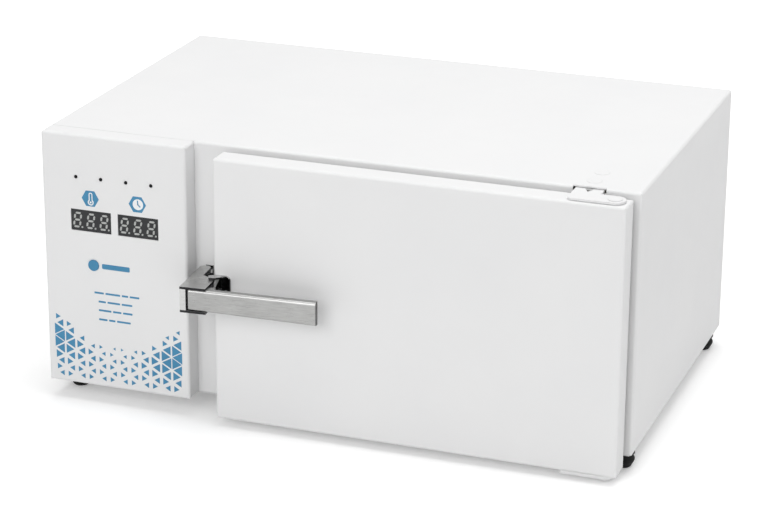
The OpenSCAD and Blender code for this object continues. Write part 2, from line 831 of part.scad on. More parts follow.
// Saddles that hold the heaters to the liner
module heater_clip(x, y, z, up) {
    w = 2 * heater_r + 14;
    h = heater_r + clear;
    base = up > 0 ? z : z - h;
    difference() {
        union() {
            slab(x - 5, y - w / 2, up > 0 ? z + h - 1 : z - h, 10, w, 1);
            translate([x - 5, y, z]) rotate([0, 90, 0]) cylinder(r = heater_r + 1.2, h = 10);
            slab(x - 5, y - heater_r - 1.2, base, 10, 2 * (heater_r + 1.2), h);
        }
        translate([x - 5 - cut, y, z]) rotate([0, 90, 0]) cylinder(r = heater_r + 0.1, h = 10 + 2 * cut);
        slab(x - 5 - cut, y - heater_r - 0.1, base, 10 + 2 * cut, 2 * (heater_r + 0.1), h);
        slab(x - 6, y - w / 2 - cut, up > 0 ? z + h : z - h - 10, 12, w + 2 * cut, 10);
    }
}

module heater_clips() {
    color(steel) on_bench() for (i = [0, 3], x = [0.3, 0.7]) {
        y = chamber_d / 2 + (i - 1.5) * heater_pitch;
        heater_clip(mouth_x + x * chamber_w, y, lower_heater_z, 1);
        heater_clip(mouth_x + x * chamber_w, y, upper_heater_z, -1);
    }
}

rail_l = chamber_d - 30;
rail_y = 15;
rail_levels = [0, 1, 2];
rail_pitch = (chamber_h - rail_first - rail_head) / 2;
rail_low = liner_r + 4;

// Rail strip with three ledges, for the left wall of the chamber
module rail() {
    strip_h = rail_first + 2 * rail_pitch + 12 - rail_low;
    translate([0, rail_y, rail_low]) cube([rail_t, rail_l, strip_h]);
    for (i = rail_levels) {
        translate([0, rail_y, rail_first + i * rail_pitch]) cube([rail_ledge, rail_l, rail_t]);
        translate([0, rail_y + rail_l - rail_t, rail_first + i * rail_pitch])
            cube([rail_ledge, rail_t, 6]);
    }
}

module left_rail() {
    color(steel) on_bench() translate([mouth_x, 0, mouth_z]) rail();
}

module right_rail() {
    color(steel) on_bench() translate([mouth_x + chamber_w, 0, mouth_z]) mirror([1, 0, 0]) rail();
}

tray_t = 0.8;
tray_r = 10;

// Pressed tray with rows of slots in its floor, resting on one pair of ledges
module tray(level) {
    w = chamber_w - 2 * (rail_t + tray_play);
    d = rail_l - rail_t - 4;
    cols = 9;
    rows = 6;
    z = mouth_z + rail_first + level * rail_pitch + rail_t;
    color([0.80, 0.80, 0.79]) on_bench()
        translate([mouth_x + rail_t + tray_play, rail_y, z]) difference() {
            linear_extrude(tray_h) round_rect(w, d, tray_r);
            translate([tray_t, tray_t, tray_t]) linear_extrude(tray_h)
                round_rect(w - 2 * tray_t, d - 2 * tray_t, tray_r - tray_t);
            for (i = [0:cols - 1], j = [0:rows - 1])
                translate([w * (i + 0.5) / cols - 8, d * (j + 0.5) / rows - 2, -cut])
                    linear_extrude(tray_t + 2 * cut) round_rect(16, 4, 1.99);
        }
}

probe_x = mouth_x + chamber_w * 0.75;
probe_z = mouth_z + chamber_h * 0.7;
probe_r = 2.5;
probe_nut_r = 7;
probe_in = 24;
probe_out = 14;

// Probe tube through the rear wall of the liner, with its nut and collar
module temperature_probe() {
    color(steel) on_bench() {
        bar_y(probe_x, chamber_d - probe_in, probe_z, probe_r, probe_in + rear_insulation + probe_out);
        bar_y(probe_x, chamber_d - 2, probe_z, probe_r + 2.5, 2);
        translate([probe_x, chamber_d + liner_t, probe_z]) rotate([-90, 0, 0])
            cylinder(r = probe_nut_r, h = 6, $fn = 6);
    }
}

module overheat_thermostat() {
    z = mouth_z + chamber_h + liner_t;
    color([0.85, 0.85, 0.82]) on_bench() {
        rod_z(mouth_x + chamber_w / 2, chamber_d / 2, z, 11, 5);
        rod_z(mouth_x + chamber_w / 2, chamber_d / 2, z + 5, 8, 5);
    }
}

gasket_in = 2;
gasket_base = 1.6;

// Silicone gasket round the chamber's mouth: a flat base and a narrower lip
module door_gasket() {
    out = liner_lip - 1;
    bulge = (out - gasket_in) * 0.25;
    tip = door_gap - clear;
    color([0.78, 0.30, 0.24]) on_bench() {
        gasket_ring(gasket_in, out, liner_t, liner_t + gasket_base);
        gasket_ring(gasket_in + bulge, out - bulge, liner_t + gasket_base, tip - 0.6);
        gasket_ring(gasket_in + 1.6 * bulge, out - 1.6 * bulge, tip - 0.6, tip);
    }
}

module gasket_ring(inside, outside, from, to) {
    difference() {
        wall(mouth_x - outside, -to, mouth_z - outside, chamber_w + 2 * outside, to - from,
            chamber_h + 2 * outside, liner_r);
        wall(mouth_x - inside, -to - cut, mouth_z - inside, chamber_w + 2 * inside,
            to - from + 2 * cut, chamber_h + 2 * inside, liner_r / 2);
    }
}

// Hinges

rivet_r = 2.5;
rivet_places = [for (y = [18, 41]) [arm_x + arm_w * 0.4, y]];
rivet_mark_r = 6.5;
rivet_mark_t = 0.15;
rivet_head_r = 4.5;

module hinge_rivet_cores(grow) {
    for (p = rivet_places) {
        rod_z(p[0], p[1], base_z - cut, rivet_r + grow, 2 * sheet + 2 * cut);
        rod_z(p[0], p[1], case_h - sheet - cut, rivet_r + grow, sheet + 2 * cut);
    }
}

// Outline of a hinge arm: a strap out of the case, cranked to a round end at the pivot
module arm_outline(back, w) {
    front = pivot_y - arm_end_r;
    translate([arm_x, pivot_y]) square([w, back - pivot_y]);
    translate([arm_x + 4, front]) square([pivot_x - arm_x - 4, 2 * arm_end_r]);
    translate([arm_x, front + 4]) square([w, 2 * arm_end_r - 4]);
    translate([arm_x + 4, front + 4]) circle(4);
    translate([pivot_x, pivot_y]) circle(arm_end_r);
}

module arm_holes(z, t) {
    rod_z(pivot_x, pivot_y, z - cut, hinge_pin_r + pin_fit, t + 2 * cut);
    for (p = rivet_places) rod_z(p[0], p[1], z - cut, rivet_r + pin_fit, t + 2 * cut);
}

// Upper arm: a strap that leaves the case through the notch, thicker where it meets the top
module upper_hinge_arm() {
    pad_y = 5;
    under_top = case_h - sheet - upper_tongue_z;
    color(white) on_bench() difference() {
        union() {
            translate([0, 0, upper_tongue_z]) linear_extrude(upper_arm_t)
                arm_outline(arm_reach, upper_arm_w);
            slab(arm_x, pad_y, upper_tongue_z, upper_arm_w, arm_reach - pad_y, under_top);
        }
        arm_holes(upper_tongue_z, under_top);
        // relief in the middle of the strap, where it leaves the case
        translate([arm_x + upper_arm_w / 2, fold_r - 2, upper_tongue_z - cut])
            linear_extrude(upper_arm_t + 2 * cut) polygon([[-4, 2], [4, 2], [0, -6]]);
    }
}

// Lower arm, joggled: a strap under the base plate, a web down and a tongue under the door
module lower_hinge_arm() {
    flange_z = base_z - lower_arm_t;
    web_y = 1.5;
    color(white) on_bench() difference() {
        union() {
            slab(arm_x, web_y, flange_z, arm_w, arm_reach - web_y, lower_arm_t);
            slab(arm_x, web_y, lower_tongue_z, arm_w, lower_arm_t, base_z - lower_tongue_z);
            translate([0, 0, lower_tongue_z]) linear_extrude(lower_arm_t)
                arm_outline(web_y + lower_arm_t, arm_w);
        }
        arm_holes(lower_tongue_z, lower_arm_t);
        arm_holes(flange_z, lower_arm_t);
    }
}

bush_h = 16;
bush_r = hinge_pin_r + 2;
bush_collar_r = bush_r + 2;
pin_in = bush_h - 3;

// The upper pin hangs by its low head on the arm
module upper_hinge_pin() {
    top = upper_tongue_z + upper_arm_t;
    door_top = door_z + door_h;
    color(steel) on_bench() {
        rod_z(pivot_x, pivot_y, door_top - pin_in, hinge_pin_r, top - door_top + pin_in);
        rod_z(pivot_x, pivot_y, top, arm_end_r - 3, 0.6);
    }
}

module lower_hinge_pin() {
    color(white) on_bench() {
        rod_z(pivot_x, pivot_y, lower_tongue_z, hinge_pin_r, door_z - lower_tongue_z + pin_in);
        rod_z(pivot_x, pivot_y, lower_tongue_z - pin_head_h, arm_end_r - 3, pin_head_h);
    }
}

module hinge_rivets() {
    color(white) on_bench() for (p = rivet_places) {
        rod_z(p[0], p[1], upper_tongue_z - rivet_head_t, rivet_r,
            case_h + rivet_mark_t - upper_tongue_z + rivet_head_t);
        rod_z(p[0], p[1], upper_tongue_z - rivet_head_t, rivet_head_r, rivet_head_t);
        rod_z(p[0], p[1], case_h, rivet_mark_r, rivet_mark_t);
        rod_z(p[0], p[1], base_z - lower_arm_t - rivet_head_t, rivet_head_r, rivet_head_t);
        rod_z(p[0], p[1], base_z - lower_arm_t, rivet_r, lower_arm_t + 2 * sheet);
    }
}

// Door

module door_shell() {
    in = door_lip;
    color(white) on_bench() difference() {
        translate([door_x, door_front, door_z]) round_box(door_w, door_t, door_h, fold_r);
        translate([door_x + sheet, door_front + sheet, door_z + sheet])
            round_box(door_w - 2 * sheet, door_t - 2 * sheet, door_h - 2 * sheet, fold_r - sheet);
        slab(door_x + in, -door_gap - sheet - cut, door_z + in, door_w - 2 * in, sheet + 2 * cut,
            door_h - 2 * in);
        rod_z(pivot_x, pivot_y, door_z - cut, bush_r + pin_fit, sheet + 2 * cut);
        rod_z(pivot_x, pivot_y, door_z + door_h - sheet - cut, bush_r + pin_fit, sheet + 2 * cut);
        for (z = latch_rivet_z)
            bar_y(latch_rivet_x, door_front - cut, z, latch_rivet_r + pin_fit, sheet + 2 * cut);
    }
}

// Inner panel behind the door's lip, with a pressed field that enters the gasket ring
module door_inner_panel() {
    in = fold_r + clear;
    back = -door_gap - sheet;
    field_x = mouth_x + 5;
    field_z = mouth_z + 5;
    field_w = chamber_w - 10;
    field_d = sheet + field_h;
    color(steel) on_bench() difference() {
        union() {
            slab(door_x + in, back - liner_t, door_z + in, door_w - 2 * in, liner_t, door_h - 2 * in);
            wall(field_x, back, field_z, field_w, field_d, chamber_h - 10, liner_r);
        }
        wall(field_x + liner_t, back - liner_t - cut, field_z + liner_t, field_w - 2 * liner_t,
            field_d + cut, chamber_h - 10 - 2 * liner_t, liner_r - liner_t);
    }
}

module door_insulation() {
    in = fold_r + clear;
    front = door_front + sheet + clear;
    back = -door_gap - sheet - liner_t - clear;
    color([0.86, 0.80, 0.62]) on_bench() difference() {
        slab(door_x + in, front, door_z + in, door_w - 2 * in, back - front, door_h - 2 * in);
        for (z = [door_z, door_z + door_h - bush_h - 3])
            rod_z(pivot_x, pivot_y, z, bush_collar_r + 0.5, bush_h + 3);
        slab(leaf_x - 1, front - cut, latch_low - 4, leaf_w + 2, cut + 2, latch_h + 8);
    }
}

// Bush of the door: an outer lip, a collar inside the sheet and the bored barrel
module bush(edge, up) {
    translate([pivot_x, pivot_y, edge]) scale([1, 1, up]) difference() {
        union() {
            translate([0, 0, -bush_lip]) cylinder(r = bush_collar_r, h = bush_lip);
            translate([0, 0, -bush_lip]) cylinder(r = bush_r, h = bush_h + bush_lip);
            translate([0, 0, sheet]) cylinder(r = bush_collar_r, h = 2);
        }
        translate([0, 0, -bush_lip - cut])
            cylinder(r = hinge_pin_r + pin_fit, h = bush_h + bush_lip + 2 * cut);
    }
}

module upper_bush() {
    color([0.80, 0.66, 0.35]) on_bench() bush(door_z + door_h, -1);
}

module lower_bush() {
    color([0.80, 0.66, 0.35]) on_bench() bush(door_z, 1);
}

// Latch

leaf_x = door_x + 2;
leaf_w = 13.5;
leaf_h = latch_h + 5;
leaf_t = 2;
leaf_slant_w = 6;
leaf_slant_h = 12;
tab_t = 1.6;
latch_rivet_r = 1.5;
latch_rivet_z = [latch_z - 10, latch_z - 1];
latch_rivet_x = leaf_x + leaf_w - 3.4;
ear_r = latch_pin_r + 2.5;
base_ear_z = [latch_z - 6, latch_z + 0.5];

// Leaf on the door with two ears that carry the latch pin between the hook's plates. Its top is
// folded forward into a tab over the hook, and its upper left corner is cut away.
module latch_base() {
    color(dark_steel) on_bench() difference() {
        union() {
            difference() {
                wall(leaf_x, door_front - leaf_t, latch_z - leaf_h / 2, leaf_w, leaf_t, leaf_h, 4);
                translate([leaf_x, door_front + cut, latch_z + leaf_h / 2]) rotate([90, 0, 0])
                    linear_extrude(leaf_t + 2 * cut)
                        polygon([[-cut, cut], [-cut, -leaf_slant_h], [0, -leaf_slant_h],
                            [leaf_slant_w, cut]]);
            }
            translate([leaf_x, door_front, latch_low + latch_h + ear_play]) linear_extrude(tab_t)
                polygon([[2, 0], [-5, -4], [-3, -9], [2.5, -8.5], [leaf_w - 4, -leaf_t], [leaf_w - 4, 0]]);
            for (z = base_ear_z) translate([0, 0, z]) linear_extrude(ear_t) {
                translate([latch_x, latch_y]) circle(ear_r);
                polygon([
                    [latch_x - ear_r * 0.6, latch_y + ear_r * 0.8], [latch_x, latch_y - ear_r],
                    [leaf_x + leaf_w * 0.45, door_front - leaf_t], [leaf_x + leaf_w * 0.45, door_front],
                    [leaf_x, door_front],
                ]);
            }
        }
        rod_z(latch_x, latch_y, latch_low, latch_pin_r + pin_fit, latch_h);
        for (z = latch_rivet_z)
            bar_y(latch_rivet_x, door_front - leaf_t - cut, z, latch_rivet_r + pin_fit,
                leaf_t + 2 * cut);
    }
}

module latch_rivets() {
    color(steel) on_bench() for (z = latch_rivet_z) {
        bar_y(latch_rivet_x, door_front - leaf_t, z, latch_rivet_r, leaf_t + sheet);
        bar_y(latch_rivet_x, door_front - leaf_t - 1, z, 2.4, 1);
        bar_y(latch_rivet_x, door_front + sheet, z, 2.4, 0.8);
    }
}

module at_latch() {
    translate([latch_x, latch_y, 0]) rotate([0, 0, latch_yaw]) children();
}

module hook_outline() {
    neck_r = neck_w / 2;
    polygon([
        [-hook_left, -hook_front], [hook_right, -hook_front], [hook_right, hook_back],
        [neck_right, neck_root], [neck_right, neck_reach - neck_r],
        [-hook_left, neck_reach - neck_r],
    ]);
    translate([-hook_left + neck_r, neck_reach - neck_r]) circle(neck_r);
}

// Hook: two equal plates joined by a web at their front left edge and a short wall behind it
module latch_hook() {
    color(steel) on_bench() at_latch() {
        for (z = [latch_low, latch_low + latch_h - latch_sheet])
            translate([0, 0, z]) linear_extrude(latch_sheet) hook_outline();
        slab(-hook_left, -hook_front, latch_low, web_w, latch_sheet, latch_h);
        slab(-hook_left, -hook_front, latch_low, latch_sheet, hook_front + 2, latch_h);
    }
}

module latch_pin() {
    color(steel) on_bench() at_latch()
        rod_z(0, 0, latch_low + latch_sheet, latch_pin_r, hook_gap);
}

// Block whose upper front edge is round, from x = 0 to the right and down from z = 0
module bent_block(length, d, h, r) {
    rotate([90, 0, 90]) linear_extrude(length) {
        translate([0, -h]) square([d, h - r]);
        translate([r, -h]) square([d - r, h]);
        translate([r, -r]) circle(r);
    }
}

// The bar's form: level above, falling by the taper below, with both front edges round
module bar_form(in, from, to) {
    r = bar_t + 1 - in;
    far = 2 * bar_len;
    d = bar_depth + (in > 0 ? cut : 0);
    in_hook = hook_right - bar_left;
    taper = atan((bar_h - hook_gap) / (bar_len - in_hook));
    intersection() {
        translate([from, 0, -in]) bent_block(to - from, d - in, 2 * bar_h, r);
        translate([in_hook, 0, in - hook_gap]) rotate([0, taper, 0]) translate([-bar_len, 0, 0])
            mirror([0, 0, 1]) bent_block(far, d - in, 2 * bar_h, r);
    }
}

// Handle bar: a channel that widens towards its free end, closed there by a folded tab
module handle_bar() {
    color(steel) on_bench() at_latch()
        translate([bar_left, -hook_front, latch_z + hook_gap / 2]) difference() {
            bar_form(0, 0, bar_len);
            translate([0, bar_t, 0]) bar_form(bar_t, -cut, bar_len - bar_t);
        }
}

keeper_x = latch_x - hook_left;
keeper_t = 1.5;
keeper_pin_r = 2.5;
keeper_root = 6.5;
keeper_ear_z = [latch_low + latch_sheet + ear_play, latch_low + latch_h - latch_sheet - ear_play - ear_t];
keeper_pin_x = keeper_x + 4.5;
keeper_pin_y = 5 - keeper_reach;

// Keeper on the case: a leaf and two ears with a pin, which stand between the hook's plates
module latch_keeper() {
    color(dark_steel) on_bench() difference() {
        union() {
            slab(keeper_x, -keeper_t, latch_low - 1, keeper_root, keeper_t, latch_h + 0.3);
            for (z = keeper_ear_z) translate([keeper_x, 0, z]) linear_extrude(ear_t)
                polygon([
                    [0, 0], [0, 2 - keeper_reach], [2, -keeper_reach], [keeper_w - 2.5, -keeper_reach],
                    [keeper_w, -keeper_reach * 0.65], [keeper_root, 0],
                ]);
        }
        rod_z(keeper_pin_x, keeper_pin_y, latch_low, keeper_pin_r + pin_fit, latch_h);
    }
}

module keeper_pin() {
    low = keeper_ear_z[0];
    color(steel) on_bench()
        rod_z(keeper_pin_x, keeper_pin_y, low, keeper_pin_r, keeper_ear_z[1] + ear_t - low);
}

// Rear fittings

inlet_body_w = 27.5;
inlet_body_h = 20;
inlet_body_d = 22;
inlet_flange_w = 48;
inlet_flange_h = 27;
socket_w = 24;
socket_h = 16.5;
socket_d = 16;
socket_r = 1.5;

// Three pole mains inlet with an open socket to the rear
module mains_inlet() {
    y = rear_y + inlet_t;
    color([0.10, 0.10, 0.10]) on_bench() difference() {
        union() {
            wall(inlet_x - inlet_flange_w / 2, rear_y, inlet_z - inlet_flange_h / 2, inlet_flange_w,
                inlet_t, inlet_flange_h, 4);
            slab(inlet_x - inlet_body_w / 2, rear_y - inlet_body_d, inlet_z - inlet_body_h / 2,
                inlet_body_w, inlet_body_d, inlet_body_h);
        }
        wall(inlet_x - socket_w / 2, y - socket_d, inlet_z - socket_h / 2, socket_w, socket_d + cut,
            socket_h, socket_r);
        for (s = [-1, 1]) bar_y(inlet_x + s * 20, rear_y - cut, inlet_z, 1.7, inlet_t + 2 * cut);
    }
}

module inlet_pins() {
    y = rear_y + inlet_t - socket_d;
    color(steel) on_bench() {
        for (s = [-1, 1]) slab(inlet_x + s * 7 - 1, y, inlet_z - 4, 2, 12, 4);
        slab(inlet_x - 1, y, inlet_z + 0.5, 2, 13.5, 4);
    }
}

switch_w = rocker_w + 4.6;
switch_l = rocker_l + 6;
switch_d = 18;
recess_l = rocker_l + 2;
stub_r = 1.5;
stub_l = 1.2;

// Housing of the power switch, with a bezel, a recess and the seats of the rocker's stubs
module power_switch() {
    color([0.10, 0.10, 0.10]) on_bench() difference() {
        union() {
            wall(inlet_x - switch_w / 2 - 1.5, rear_y, switch_z - switch_l / 2 - 1.5, switch_w + 3,
                bezel_t, switch_l + 3, 1.5);
            slab(inlet_x - switch_w / 2, rear_y - switch_d, switch_z - switch_l / 2, switch_w,
                switch_d, switch_l);
        }
        slab(inlet_x - rocker_w / 2 - clear, rocker_axis_y - 7, switch_z - recess_l / 2,
            rocker_w + 2 * clear, 7 + rocker_rise + cut, recess_l);
        translate([inlet_x - rocker_w / 2 - stub_l - 0.2, rocker_axis_y, switch_z]) rotate([0, 90, 0])
            cylinder(r = stub_r + pin_fit, h = rocker_w + 2 * stub_l + 0.4);
    }
}

// Rocker with a bent face, tilted as it lies when switched off
module power_rocker() {
    half = rocker_l / 2;
    color([0.13, 0.13, 0.13]) on_bench() translate([inlet_x, rocker_axis_y, switch_z])
        rotate([-rocker_tilt, 0, 0]) {
            translate([-rocker_w / 2, 0, 0]) rotate([90, 0, 90]) linear_extrude(rocker_w) {
                polygon([[-1, -half], [rocker_rise, -half], [rocker_rise - 1.2, 0],
                    [rocker_rise, half], [-1, half], [-3, 6], [-3, -6]]);
                circle(5);
            }
            translate([-rocker_w / 2 - stub_l, 0, 0]) rotate([0, 90, 0])
                cylinder(r = stub_r, h = rocker_w + 2 * stub_l);
        }
}

outer_case();
base_plate();
rear_panel();
case_screws();
foot(0);  // front_left_foot
foot(1);  // rear_left_foot
foot(2);  // front_right_foot
foot(3);  // rear_right_foot
foot_screws();
foot_nuts();
control_panel();
panel_print();
display_module(0);  // temperature_display
digits(0);  // temperature_digits
display_module(1);  // time_display
digits(1);  // time_digits
indicator_leds();
display_board();
board_standoffs();
button_switch();
program_button();
bay_partition();
power_board();
heater_relay();
mains_transformer();
chamber_liner();
chamber_insulation();
heater_tube(lower_heater_z);  // lower_heater
heater_tube(upper_heater_z);  // upper_heater
heater_clips();
left_rail();
right_rail();
tray(0);  // lower_tray
tray(2);  // upper_tray
temperature_probe();
overheat_thermostat();
door_gasket();
upper_hinge_arm();
lower_hinge_arm();
upper_hinge_pin();
lower_hinge_pin();
hinge_rivets();
latch_keeper();
keeper_pin();
door_shell();
door_inner_panel();
door_insulation();
upper_bush();
lower_bush();
latch_base();
latch_rivets();
latch_hook();
latch_pin();
handle_bar();
mains_inlet();
inlet_pins();
power_switch();
power_rocker();
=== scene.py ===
"""Looks of the dry heat sterilizer: materials, printed marks on the panel and rocker, light and camera."""
import json
import math

import bmesh
import bpy
from mathutils import Matrix, Vector


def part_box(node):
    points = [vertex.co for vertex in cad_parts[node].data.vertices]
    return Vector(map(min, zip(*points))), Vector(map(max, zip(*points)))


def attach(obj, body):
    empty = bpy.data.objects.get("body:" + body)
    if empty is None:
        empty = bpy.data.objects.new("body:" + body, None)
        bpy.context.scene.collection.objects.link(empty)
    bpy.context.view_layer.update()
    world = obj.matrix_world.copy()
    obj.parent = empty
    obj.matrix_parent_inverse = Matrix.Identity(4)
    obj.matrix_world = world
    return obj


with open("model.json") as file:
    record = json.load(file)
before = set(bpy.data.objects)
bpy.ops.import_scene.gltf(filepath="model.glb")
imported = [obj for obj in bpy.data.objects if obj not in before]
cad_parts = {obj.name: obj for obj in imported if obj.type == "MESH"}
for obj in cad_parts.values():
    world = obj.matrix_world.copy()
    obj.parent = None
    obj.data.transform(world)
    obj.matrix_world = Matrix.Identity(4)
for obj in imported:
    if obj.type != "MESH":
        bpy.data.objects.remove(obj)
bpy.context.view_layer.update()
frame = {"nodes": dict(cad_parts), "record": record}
MM = 0.001

# Places read from the frame, in metres
PANEL_LEFT, PANEL_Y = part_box("control_panel")[0][:2]
CASE_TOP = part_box("outer_case")[1][2]

# Turn of the latch about the upright, as part.scad has it
LATCH_YAW = math.radians(4)
# Thickness of one layer of ink
INK = 0.12 * MM

INK_BLUE = (0.058, 0.245, 0.425)
# Dark colour painted on steel: a painted dark reflection on upright faces, and painted shade inside the
# latch hook
DARK_SHADE_AND_REFLECTION = (0.030, 0.030, 0.032)


def panel_point(x, drop):
    """A place on the panel's face, in metres: x from its left edge, drop from the case's top, in mm."""
    return PANEL_LEFT + x * MM, CASE_TOP - drop * MM


# Materials


def add_node(tree, kind, inputs, **settings):
    """A new shader node with its settings, and its inputs as other nodes' outputs or plain values."""
    node = tree.nodes.new(kind)
    for name, value in settings.items():
        setattr(node, name, value)
    for name, value in inputs.items():
        if isinstance(value, bpy.types.NodeSocket):
            tree.links.new(value, node.inputs[name])
        else:
            node.inputs[name].default_value = value
    return node


def map_range(tree, value, low, high, start=0.0, end=1.0):
    """A value that runs from low to high while value runs from start to end."""
    inputs = {"Value": value, "From Min": start, "From Max": end, "To Min": low, "To Max": high}
    return add_node(tree, "ShaderNodeMapRange", inputs).outputs["Result"]


def calculate(tree, operation, a, b=0.0):
    """A value worked out from two values, each a socket or a number."""
    return add_node(tree, "ShaderNodeMath", {0: a, 1: b}, operation=operation).outputs["Value"]


class Shader:
    """A material with a Principled shader and short calls for the nodes that feed it."""

    def __init__(self, name, color, rough, metal=0.0):
        self.material = bpy.data.materials.new(name)
        self.material.use_nodes = True
        self.tree = self.material.node_tree
        self.inputs = self.tree.nodes["Principled BSDF"].inputs
        self.inputs["Base Color"].default_value = (*color, 1)
        self.inputs["Roughness"].default_value = rough
        self.inputs["Metallic"].default_value = metal
        self.material.diffuse_color = (*color, 1)

    def add(self, kind, inputs, **settings):
        return add_node(self.tree, kind, inputs, **settings)

    def feed(self, name, value):
        """Links a value to the shader's own input of that name."""
        self.tree.links.new(value, self.inputs[name])

    def calculate(self, operation, a, b=0.0):
        return calculate(self.tree, operation, a, b)

    def coords(self, scale=(1, 1, 1), turn=0.0):
        """Places in the object's own frame, turned about the upright and scaled."""
        source = self.add("ShaderNodeTexCoord", {}).outputs["Object"]
        inputs = {"Vector": source, "Scale": scale, "Rotation": (0, 0, turn)}
        return self.add("ShaderNodeMapping", inputs).outputs["Vector"]

    def split(self, vector):
        node = self.add("ShaderNodeSeparateXYZ", {"Vector": vector})
        return node.outputs["X"], node.outputs["Y"], node.outputs["Z"]

    def normal(self):
        """The surface's normal in the object's own frame, as x, y and z."""
        source = self.add("ShaderNodeNewGeometry", {}).outputs["True Normal"]
        turned = self.add("ShaderNodeVectorTransform", {"Vector": source}, vector_type="NORMAL",
                          convert_from="WORLD", convert_to="OBJECT")
        return self.split(turned.outputs["Vector"])

    def noise(self, vector, scale, detail=3.0):
        inputs = {"Vector": vector, "Scale": scale, "Detail": detail, "Roughness": 0.55}
        return self.add("ShaderNodeTexNoise", inputs).outputs["Fac"]

    def spread(self, noise, low, high):
        """Noise, which keeps near its middle, spread to run from low to high."""
        return map_range(self.tree, noise, low, high, 0.3, 0.7)

    def vary_rough(self, noise, low, high):
        self.feed("Roughness", self.spread(noise, low, high))

    def mix_color(self, factor, a, b):
        """Base colour a where factor is 0, and b where it is 1."""
        inputs = {"Factor": factor, "A": a, "B": b}
        self.feed("Base Color", self.add("ShaderNodeMix", inputs, data_type="RGBA").outputs["Result"])

    def vary_color(self, noise, dark, light):
        self.mix_color(self.spread(noise, 0, 1), (*dark, 1), (*light, 1))

    def vary_shade(self, noise, color, contrast):
        """One colour, darker and lighter by a share of it."""
        dark = [c * (1 - contrast) for c in color]
        light = [min(1, c * (1 + contrast)) for c in color]
        self.vary_color(noise, dark, light)

    def recolor(self, mask, color):
        """Another base colour where mask is 1, over the one that is fed."""
        fed = self.inputs["Base Color"].links[0].from_socket
        self.mix_color(mask, fed, (*color, 1))

    def surface(self, relief, depth, strength, edge=0.4 * MM):
        """Fine relief, and edges that look rounded with radius edge."""
        edges = self.add("ShaderNodeBevel", {"Radius": edge}, samples=4).outputs["Normal"]
        inputs = {"Height": relief, "Distance": depth, "Strength": strength, "Normal": edges}
        self.feed("Normal", self.add("ShaderNodeBump", inputs).outputs["Normal"])


def white_paint():
    """Satin paint with a faint orange peel."""
    s = Shader("white_paint", (0.80, 0.80, 0.80), 0.52)
    texture = s.coords()
    s.vary_rough(s.noise(texture, 60), 0.47, 0.57)
    s.vary_color(s.noise(texture, 9, 2), (0.792, 0.793, 0.796), (0.808, 0.808, 0.808))
    s.surface(s.noise(texture, 900, 2), 0.03 * MM, 0.25, 0.6 * MM)
    s.inputs["Specular IOR Level"].default_value = 0.35
    return s.material


def steel_shader(name, color, rough, along, turn=0.0, contrast=0.10):
    """Steel brushed along one axis: noise drawn out along it, in shade, roughness and relief.

    Wide soft patches of lighter and darker colour, a painted blurred reflection, lie under the brushing.
    """
    s = Shader(name, color, rough, 1.0)
    stretch = [1400, 1400, 1400]
    stretch["xyz".index(along)] = 14
    lines = s.noise(s.coords(stretch, turn), 1.0, 2)
    # Painted blurred reflection: wide soft patches of lighter and darker colour
    reflection_patches = s.noise(s.coords(), 38, 1)
    brushing_share = 0.65
    brushing = s.calculate("MULTIPLY", lines, brushing_share)
    reflection_clouding = s.calculate("MULTIPLY", reflection_patches, 1 - brushing_share)
    s.vary_shade(s.calculate("ADD", brushing, reflection_clouding), color, contrast)
    s.vary_rough(lines, rough - 0.05, rough + 0.07)
    s.surface(lines, 0.01 * MM, 0.35)
    s.inputs["Anisotropic"].default_value = 0.6
    return s


def brushed(*args):
    return steel_shader(*args).material


def hook_steel():
    """Brushed steel with a painted dark reflection on the plates' upright edges, and painted shade on the
    upright faces towards +x, the hook's inside among them.
    """
    s = steel_shader("hook_steel", (0.53, 0.53, 0.525), 0.30, "x", LATCH_YAW)
    low, high = (c[2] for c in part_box("latch_hook"))
    plate_zone = 2.1 * MM
    x, _, z = s.normal()
    height = s.split(s.coords())[2]
    from_middle = s.calculate("ABSOLUTE", s.calculate("SUBTRACT", height, (low + high) / 2))
    on_plates = s.calculate("GREATER_THAN", from_middle, (high - low) / 2 - plate_zone)
    upright = s.calculate("LESS_THAN", s.calculate("ABSOLUTE", z), 0.5)
    inside = s.calculate("GREATER_THAN", x, 0.5)
    # Mask for painted dark reflection on the plate edges and painted shade on the inside
    dark = s.calculate("MULTIPLY", upright, s.calculate("MAXIMUM", on_plates, inside))
    s.recolor(dark, DARK_SHADE_AND_REFLECTION)
    return s.material


def bar_steel():
    """Brushed steel in a base colour darker than the other stainless, a painted dark reflection, with
    painted shade on the bar's free end.
    """
    # The dark base colour stands in for dark surroundings mirrored in the bar: a painted reflection
    s = steel_shader("bar_steel", (0.36, 0.36, 0.355), 0.30, "x", LATCH_YAW, 0.16)
    painted_shade_end = s.calculate("GREATER_THAN", s.normal()[0], 0.8)
    # Painted shade on the bar's end face
    s.recolor(painted_shade_end, (0.10, 0.10, 0.10))
    return s.material


def steel_with_painted_reflection():
    """Steel painted dark as a reflection of dark surroundings, and painted light where it faces up as a
    reflection of the bright sky.
    """
    s = steel_shader("steel_with_painted_reflection", DARK_SHADE_AND_REFLECTION, 0.22, "z", 0.0, 0.2)
    painted_sky_reflection = s.calculate("GREATER_THAN", s.normal()[2], 0.5)
    # Painted highlight: faces turned up are coloured light as if mirroring the sky
    s.recolor(painted_sky_reflection, (0.55, 0.55, 0.55))
    return s.material


def plain_metal(name, color, rough):
    s = Shader(name, color, rough, 1.0)
    texture = s.coords()
    s.vary_rough(s.noise(texture, 300), rough - 0.06, rough + 0.08)
    s.surface(s.noise(texture, 700, 2), 0.01 * MM, 0.2, 0.3 * MM)
    return s.material


